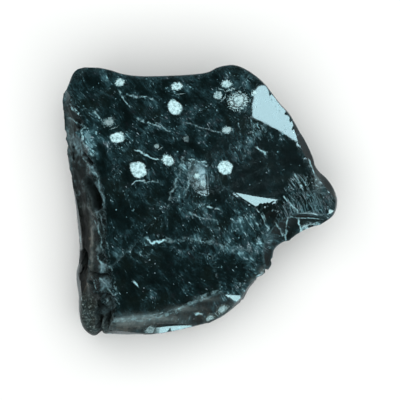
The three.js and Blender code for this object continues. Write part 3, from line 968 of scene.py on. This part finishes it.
# The marks fade out down the side, from one height to the other.
MARK_FADE = (12, 8)
HOLLOW_SHADE_DEPTH = 0.5
SCAR_EDGE = 0.06
LEAST_SCAR = 0.02
upward = np.clip((corners[:, 2] - MARK_FADE[1]) / (MARK_FADE[0] - MARK_FADE[1]), 0, 1)
attach("grain", along_grain(corners, numbers))
attach("streaks", STREAKS[numbers] + clouded(from_picture, HACKLES))
attach("rough", np.clip(ROUGH[numbers], 0, 1))
attach("ridge", ridges)
# How deep each corner lies in a pit or crack; the material darkens by it as painted shade.
attach("hollow", np.clip(hollows / HOLLOW_SHADE_DEPTH, 0, 1))
scar_depths, scar_numbers, scar_gaps = scarred(corners)
scar_shades = np.random.default_rng(8).uniform(-0.5, 0.5, SMALL_SCARS + 1)
attach("facet", scar_shades[scar_numbers])
attach("edge", np.exp(-((scar_gaps / SCAR_EDGE) ** 2)) * (scar_depths > LEAST_SCAR))
attach("crumb", crumbly(corners))
attach("cloud", upward * clouded(from_picture, CLOUDS))
attach("veil", upward * clouded(from_picture, VEILS))
attach("brown", upward * clouded(from_picture, BROWN))
offset, strengths = scored(from_picture)
attach("score_offset", offset)
attach("score", upward * strengths)


# Obsidian, its glass.
# Near-black glass with a cold green-blue cast, glossy where a break is fresh. The dust in its
# scores and streaks, the worn ridges and the crushed flank are dull and paler. Painted shade
# darkens its hollows, and a few glints and a ridge highlight are painted on.
def paint(red, green, blue):
    """A colour as the eye sees it, 0 to 255, turned into the linear one that shaders use."""
    seen = np.array([red, green, blue]) / 255
    linear = np.where(seen > 0.04045, ((seen + 0.055) / 1.055) ** 2.4, seen / 12.92)
    return (*linear.tolist(), 1)


def wire(tree, kind, inputs, **settings):
    """Add a node, set its options, then give each input a value or a link."""
    node = tree.nodes.new("ShaderNode" + kind)
    for name, value in settings.items():
        setattr(node, name, value)
    for key, value in inputs.items():
        if isinstance(value, bpy.types.NodeSocket):
            tree.links.new(value, node.inputs[key])
        else:
            node.inputs[key].default_value = value
    return node


def reckon(tree, operation, *values):
    """Result of a Math node."""
    return wire(tree, "Math", dict(enumerate(values)), operation=operation).outputs[0]


def rise(tree, value, low, high, end=1.0):
    """Smooth step from 0, where the value is low, to end, where it is high."""
    inputs = {"Value": value, "From Min": low, "From Max": high, "To Max": end}
    return wire(tree, "MapRange", inputs, interpolation_type="SMOOTHSTEP").outputs["Result"]


def mixed(tree, share, first, second):
    """Colour that goes from the first to the second as the share goes from 0 to 1."""
    return wire(tree, "Mix", {0: share, 6: first, 7: second}, data_type="RGBA").outputs[2]


def noise_of(tree, vector, scale, detail=2.0, rough=0.5):
    """Value of a Noise Texture, around 0.5."""
    inputs = {"Vector": vector, "Scale": scale, "Detail": detail, "Roughness": rough}
    return wire(tree, "TexNoise", inputs).outputs[0]


def read(tree, name, output="Fac"):
    """Output of the node that reads one attribute of the mesh."""
    return wire(tree, "Attribute", {}, attribute_name=name).outputs[output]


def tones(tree, value, stops):
    """Colour that a value from 0 to 1 has on a scale of stops: place and colour."""
    node = wire(tree, "ValToRGB", {0: value})
    scale = node.color_ramp
    for _ in stops[2:]:
        scale.elements.new(0.5)
    for element, (place, colour) in zip(scale.elements, stops):
        element.position = place
        element.color = paint(*colour)
    return node.outputs["Color"]


def new_group(name, inputs, outputs):
    """Empty node group with named inputs and outputs, and its two end nodes."""
    group = bpy.data.node_groups.new(name, "ShaderNodeTree")
    for label, kind in inputs:
        group.interface.new_socket(label, in_out="INPUT", socket_type="NodeSocket" + kind)
    for label, kind in outputs:
        group.interface.new_socket(label, in_out="OUTPUT", socket_type="NodeSocket" + kind)
    return group, group.nodes.new("NodeGroupInput"), group.nodes.new("NodeGroupOutput")


def use(tree, group, inputs):
    """Add a node of a group and give each of its inputs a value or a link."""
    node = tree.nodes.new("ShaderNodeGroup")
    node.node_tree = group
    for name, value in inputs.items():
        if isinstance(value, bpy.types.NodeSocket):
            tree.links.new(value, node.inputs[name])
        else:
            node.inputs[name].default_value = value
    return node


def streak_group():
    """Streaks along the grain: noise drawn out to a length, what of it passes a share, and
    the thin lines where it crosses its middle.
    """
    group, given, result = new_group(
        "streaks",
        [("Grain", "Vector"), ("Width", "Float"), ("Length", "Float"), ("Share", "Float")],
        [("Mask", "Float"), ("Value", "Float"), ("Line", "Float")],
    )
    sizes = wire(group, "CombineXYZ", {0: given.outputs["Width"], 1: given.outputs["Length"], 2: 1})
    scaled = wire(
        group, "VectorMath", {0: given.outputs["Grain"], 1: sizes.outputs[0]}, operation="DIVIDE"
    )
    value = noise_of(group, scaled.outputs[0], 1.0, 2.0, 0.6)
    low = reckon(group, "MULTIPLY_ADD", given.outputs["Share"], -0.4, 0.72)
    high = reckon(group, "ADD", low, 0.12)
    group.links.new(rise(group, value, low, high), result.inputs["Mask"])
    group.links.new(value, result.inputs["Value"])
    from_middle = reckon(group, "ABSOLUTE", reckon(group, "SUBTRACT", value, 0.5))
    group.links.new(rise(group, from_middle, 0.025, 0.005), result.inputs["Line"])
    return group


def flake_group():
    """Snowflake: a round spot with a wandering rim, veined and mottled inside."""
    group, given, result = new_group(
        "snowflake",
        [("Offset", "Vector"), ("Near", "Float"), ("Ragged", "Float"), ("Place", "Vector")],
        [("Mask", "Float"), ("Shade", "Float")],
    )
    offset, place = given.outputs["Offset"], given.outputs["Place"]
    distance = wire(group, "VectorMath", {0: offset}, operation="LENGTH").outputs["Value"]
    wander = reckon(group, "SUBTRACT", noise_of(group, place, 0.7), 0.5)
    fuzz = reckon(group, "SUBTRACT", noise_of(group, place, 3.4, 3.0, 0.7), 0.5)
    fuzz_size = reckon(group, "MULTIPLY_ADD", given.outputs["Ragged"], 1.9, 0.3)
    rim = reckon(group, "MULTIPLY_ADD", wander, 0.7, distance)
    rim = reckon(group, "MULTIPLY_ADD", fuzz, fuzz_size, rim)
    mask = rise(group, rim, 1.05, 0.85)

    # The most ragged one has a whole core, and a dark ring round it.
    frayed = rise(group, given.outputs["Ragged"], 1.2, 1.5)
    core = reckon(group, "MULTIPLY", frayed, rise(group, distance, 0.6, 0.4))
    from_ring = reckon(group, "SUBTRACT", distance, 0.6)
    from_ring = reckon(group, "MULTIPLY_ADD", wander, 1.4, from_ring)
    ring = rise(group, reckon(group, "ABSOLUTE", from_ring), 0.16, 0.03, 0.8)
    ring = reckon(group, "MULTIPLY", frayed, ring)
    mask = reckon(group, "MAXIMUM", mask, core)
    mask = reckon(group, "MAXIMUM", reckon(group, "SUBTRACT", mask, ring), 0.0)
    group.links.new(reckon(group, "MULTIPLY", mask, given.outputs["Near"]), result.inputs["Mask"])

    from_vein = reckon(group, "SUBTRACT", noise_of(group, place, 0.8), 0.5)
    vein = rise(group, reckon(group, "ABSOLUTE", from_vein), 0.025, 0.0, 0.7)
    mottle = rise(group, noise_of(group, place, 1.9, 4.0, 0.75), 0.42, 0.68)
    outer = rise(group, distance, 0.6, 1.1)
    shade = reckon(group, "MULTIPLY_ADD", outer, 0.3, reckon(group, "ADD", vein, mottle))
    group.links.new(shade, result.inputs["Shade"])
    return group


glass = bpy.data.materials.new("obsidian")
glass.use_nodes = True
tree = glass.node_tree
shader = tree.nodes["Principled BSDF"]
shader.inputs["IOR"].default_value = 1.5
MM_PER_METRE = 1000
metres = wire(tree, "TexCoord", {}).outputs["Object"]
place = wire(
    tree, "VectorMath", {0: metres, 1: (MM_PER_METRE,) * 3}, operation="MULTIPLY"
).outputs[0]
grain = read(tree, "grain", "Vector")
streaks = read(tree, "streaks")
rough = read(tree, "rough")
ridge = read(tree, "ridge")
hollow = read(tree, "hollow")
facet = read(tree, "facet")
edge = read(tree, "edge")
crumb = read(tree, "crumb")
cloud = read(tree, "cloud")
veil = read(tree, "veil")
brown = read(tree, "brown")
score = read(tree, "score")
score_offset = read(tree, "score_offset")

# How pale the glass is: clouds, broad mottling, and mottling drawn out along the grain.
streak_nodes = streak_group()
broad = noise_of(tree, place, 0.24, 3.0, 0.55)
smear = use(tree, streak_nodes, {"Grain": grain, "Width": 1.4, "Length": 2.6})
fibre = use(tree, streak_nodes, {"Grain": grain, "Width": 0.35, "Length": 1.2})
grit = noise_of(tree, place, 2.4, 3.0, 0.7)
pale = reckon(tree, "MULTIPLY_ADD", cloud, 0.3, 0.4)
for mottling, weight in [
    (broad, 1.4), (smear.outputs["Value"], 1.2), (fibre.outputs["Value"], 0.9), (grit, 0.5)
]:
    pale = reckon(tree, "MULTIPLY_ADD", reckon(tree, "SUBTRACT", mottling, 0.5), weight, pale)
base = tones(tree, pale, [
    (0.0, (4, 11, 11)),
    (0.3, (8, 21, 22)),
    (0.5, (18, 36, 39)),
    (0.7, (30, 54, 59)),
    (0.9, (54, 86, 93)),
    (1.0, (84, 120, 128)),
])

# A green and a plum cast come and go over it.
hue = noise_of(tree, place, 0.17, 2.0, 0.5)
base = mixed(tree, rise(tree, hue, 0.5, 0.7, 0.5), base, paint(14, 21, 16))
plum = noise_of(tree, place, 0.5, 3.0, 0.6)
base = mixed(tree, rise(tree, plum, 0.58, 0.75, 0.3), base, paint(30, 32, 38))

# Bright dashes along the grain, more of them where the glass is pale, and fine hairs where
# its streaks are strong.
dash_share = reckon(tree, "MULTIPLY_ADD", pale, 0.75, -0.17)
dash_share = reckon(tree, "MULTIPLY_ADD", streaks, 0.06, dash_share)
dashes = use(
    tree, streak_nodes, {"Grain": grain, "Width": 0.2, "Length": 0.7, "Share": dash_share}
)
glint = rise(tree, noise_of(tree, place, 0.9, 2.0, 0.5), 0.3, 0.7)
dash = reckon(tree, "MULTIPLY", dashes.outputs["Mask"], glint)
hairs = use(tree, streak_nodes, {"Grain": grain, "Width": 0.32, "Length": 6.0})
hair = reckon(tree, "MULTIPLY", hairs.outputs["Line"], rise(tree, streaks, 0.6, 1.0, 0.55))
hair = reckon(tree, "MULTIPLY", hair, rise(tree, broad, 0.3, 0.6))
dash = reckon(tree, "MAXIMUM", dash, hair)
bright = mixed(tree, rise(tree, plum, 0.45, 0.65), paint(130, 182, 192), paint(152, 166, 176))
base = mixed(tree, reckon(tree, "MULTIPLY", dash, 0.9), base, bright)

# Specks: dots up to a third of a millimetre across, here and there.
cells = wire(tree, "TexVoronoi", {"Vector": place, "Scale": 0.9, "Randomness": 1.0})
chance = wire(tree, "SeparateColor", {0: cells.outputs["Color"]}).outputs[0]
limit = reckon(tree, "MULTIPLY_ADD", chance, 0.3, -0.16)
dots = rise(tree, reckon(tree, "SUBTRACT", limit, cells.outputs["Distance"]), 0.0, 0.04)
base = mixed(tree, reckon(tree, "MULTIPLY", dots, 0.7), base, bright)

# The crushed flank: dusty, mottled, and split into small facets with pale edges.
dust = noise_of(tree, place, 0.9, 5.0, 0.65)
dusty = reckon(tree, "MULTIPLY_ADD", facet, 0.3, dust)
dusty = reckon(tree, "MULTIPLY_ADD", reckon(tree, "SUBTRACT", broad, 0.5), 0.5, dusty)
dusty = reckon(tree, "MULTIPLY_ADD", cloud, 0.2, dusty)
dusty = reckon(tree, "MULTIPLY_ADD", reckon(tree, "MULTIPLY", edge, grit), 0.25, dusty)
flank = tones(tree, dusty, [
    (0.3, (5, 9, 8)),
    (0.48, (12, 18, 17)),
    (0.6, (36, 51, 52)),
    (0.72, (72, 98, 104)),
    (0.9, (118, 152, 160)),
])
base = mixed(tree, reckon(tree, "MULTIPLY", rough, 0.95), base, flank)

# Grey dust and brown thin rims, then the grains of the crumbly lumps over them.
coarse = noise_of(tree, place, 2.2, 3.0, 0.75)
grains = tones(tree, coarse, [
    (0.4, (8, 11, 8)),
    (0.52, (30, 36, 30)),
    (0.6, (80, 94, 90)),
    (0.7, (156, 174, 174)),
])
powder = mixed(tree, rise(tree, dust, 0.35, 0.65), paint(62, 74, 74), paint(106, 118, 116))
base = mixed(tree, veil, base, powder)
earth = tones(tree, dusty, [
    (0.35, (12, 11, 8)),
    (0.55, (36, 33, 26)),
    (0.85, (112, 104, 92)),
])
brown_share = reckon(tree, "MULTIPLY", brown, rise(tree, dust, 0.25, 0.5, 0.9))
base = mixed(tree, brown_share, base, earth)
base = mixed(tree, rise(tree, crumb, 0.1, 0.6, 0.9), base, grains)

# Painted shade: the hollows are darkened by their depth. Then worn ridges and scores. A score
# wanders off its line, and is worn away in places.
base = mixed(tree, reckon(tree, "MULTIPLY", hollow, 0.95), base, paint(4, 6, 5))
worn = reckon(tree, "MULTIPLY", ridge, rise(tree, grit, 0.3, 0.7))
base = mixed(tree, reckon(tree, "MULTIPLY", worn, 0.35), base, paint(104, 138, 145))
bend = noise_of(tree, place, 0.6, 2.0, 0.5)
bent = reckon(tree, "MULTIPLY_ADD", reckon(tree, "SUBTRACT", bend, 0.5), 5.0, score_offset)
bent = reckon(tree, "MULTIPLY_ADD", reckon(tree, "SUBTRACT", dust, 0.5), 4.0, bent)
from_line = reckon(tree, "MULTIPLY_ADD", grit, -2.0, reckon(tree, "ABSOLUTE", bent))
worn_away = noise_of(tree, place, 1.3, 3.0, 0.7)
kept = rise(tree, reckon(tree, "MULTIPLY_ADD", score, 0.25, worn_away), 0.52, 0.76)
scores = reckon(tree, "MULTIPLY", rise(tree, from_line, 0.15, -0.9), kept)
scores = reckon(tree, "MULTIPLY", scores, reckon(tree, "POWER", score, 1.3))
plum_share = rise(tree, plum, 0.48, 0.68)
score_colour = mixed(tree, plum_share, paint(156, 206, 214), paint(152, 178, 186))
base = mixed(tree, reckon(tree, "MULTIPLY", scores, 0.85), base, score_colour)

# Snowflakes over all.
looks = wire(tree, "SeparateXYZ", {0: read(tree, "flake_looks", "Vector")}).outputs
flake = use(tree, flake_group(), {
    "Offset": read(tree, "flake", "Vector"),
    "Near": looks["X"],
    "Ragged": looks["Y"],
    "Place": place,
})
crystal = mixed(tree, flake.outputs["Shade"], paint(196, 230, 234), paint(96, 136, 140))
flake_share = reckon(tree, "MULTIPLY", flake.outputs["Mask"], looks["Z"])
base = mixed(tree, flake_share, base, crystal)
tree.links.new(base, shader.inputs["Base Color"])

# Gloss: glass is smooth, and scores, dust and crystal are dull.
dull = reckon(tree, "ADD", reckon(tree, "MULTIPLY", rough, 0.2), rise(tree, rough, 0.8, 1.0, 0.4))
for mask, dullness in [
    (dash, 0.25), (scores, 0.4), (flake_share, 0.4), (veil, 0.5), (crumb, 0.6), (hollow, 0.9)
]:
    dull = reckon(tree, "MAXIMUM", dull, reckon(tree, "MULTIPLY", mask, dullness))
dull = reckon(tree, "MULTIPLY_ADD", grit, 0.1, dull)
tree.links.new(reckon(tree, "ADD", dull, 0.05), shader.inputs["Roughness"])

# Bump: streaks and scores are scratched in, and the flank is gritty.
height = reckon(tree, "MULTIPLY", dash, -0.8)
height = reckon(tree, "MULTIPLY_ADD", scores, 0.8, height)
height = reckon(tree, "MULTIPLY", height, reckon(tree, "MULTIPLY_ADD", streaks, 0.9, 0.1))
height = reckon(tree, "MULTIPLY_ADD", reckon(tree, "MULTIPLY", dust, rough), 3.0, height)
height = reckon(tree, "MULTIPLY_ADD", reckon(tree, "MULTIPLY", grit, rough), 1.2, height)
bump = wire(tree, "Bump", {"Height": height, "Distance": 0.00004, "Strength": 1.0})
tree.links.new(bump.outputs["Normal"], shader.inputs["Normal"])
mesh.materials.append(glass)

# The floor: pale, plain and matt.
bpy.ops.mesh.primitive_plane_add(size=6, location=(0, 0, 0))
floor = bpy.context.object
floor.name = "floor"
floor_material = bpy.data.materials.new("floor")
floor_material.use_nodes = True
floor_shader = floor_material.node_tree.nodes["Principled BSDF"]
floor_shader.inputs["Base Color"].default_value = (0.9, 0.895, 0.88, 1)
floor_shader.inputs["Roughness"].default_value = 1
floor_shader.inputs["Specular IOR Level"].default_value = 0
floor.visible_glossy = False
floor.data.materials.append(floor_material)


def soft_box(name, away, azimuth, distance, size, radiance, colour):
    """A square light that faces the stone, away degrees off the zenith towards an azimuth."""
    data = bpy.data.lights.new(name, "AREA")
    data.shape = "SQUARE"
    data.size = size
    data.energy = radiance * math.pi * size**2
    data.color = colour
    light = bpy.data.objects.new(name, data)
    scene.collection.objects.link(light)
    light.location = distance * towards(azimuth, away)
    light.rotation_euler = (0, math.radians(away), math.radians(azimuth))
    light.visible_camera = False
    return light


# One broad box overhead lights everything evenly. The glass sees the other two in its
# facets, like windows.
fill = soft_box(
    "overhead", away=0, azimuth=0, distance=1.5, size=2.4, radiance=2.45, colour=(1, 1, 1)
)
fill.visible_glossy = False
sky_box = soft_box(
    "sky_box", away=29, azimuth=14, distance=0.8, size=0.27, radiance=18.5, colour=(0.6, 0.91, 1)
)
sky_box.visible_diffuse = False
front_box = soft_box(
    "front_box", away=51, azimuth=-77, distance=0.8, size=0.25, radiance=18, colour=(0.6, 0.93, 1)
)
front_box.visible_diffuse = False

# The room: dark above, so that level glass stays dark, and pale near the horizon. The
# camera sees it plain and pale.
world = bpy.data.worlds.new("room")
scene.world = world
world.use_nodes = True
room = world.node_tree
background = room.nodes["Background"]
direction = wire(room, "TexCoord", {}).outputs["Generated"]
up = wire(room, "SeparateXYZ", {0: direction}).outputs["Z"]
above = mixed(room, rise(room, up, 0.1, 0.6), (0.3, 0.34, 0.35, 1), (0.03, 0.055, 0.06, 1))
seen = wire(room, "LightPath", {}).outputs["Is Camera Ray"]
room.links.new(mixed(room, seen, above, (0.95, 0.95, 0.95, 1)), background.inputs["Color"])
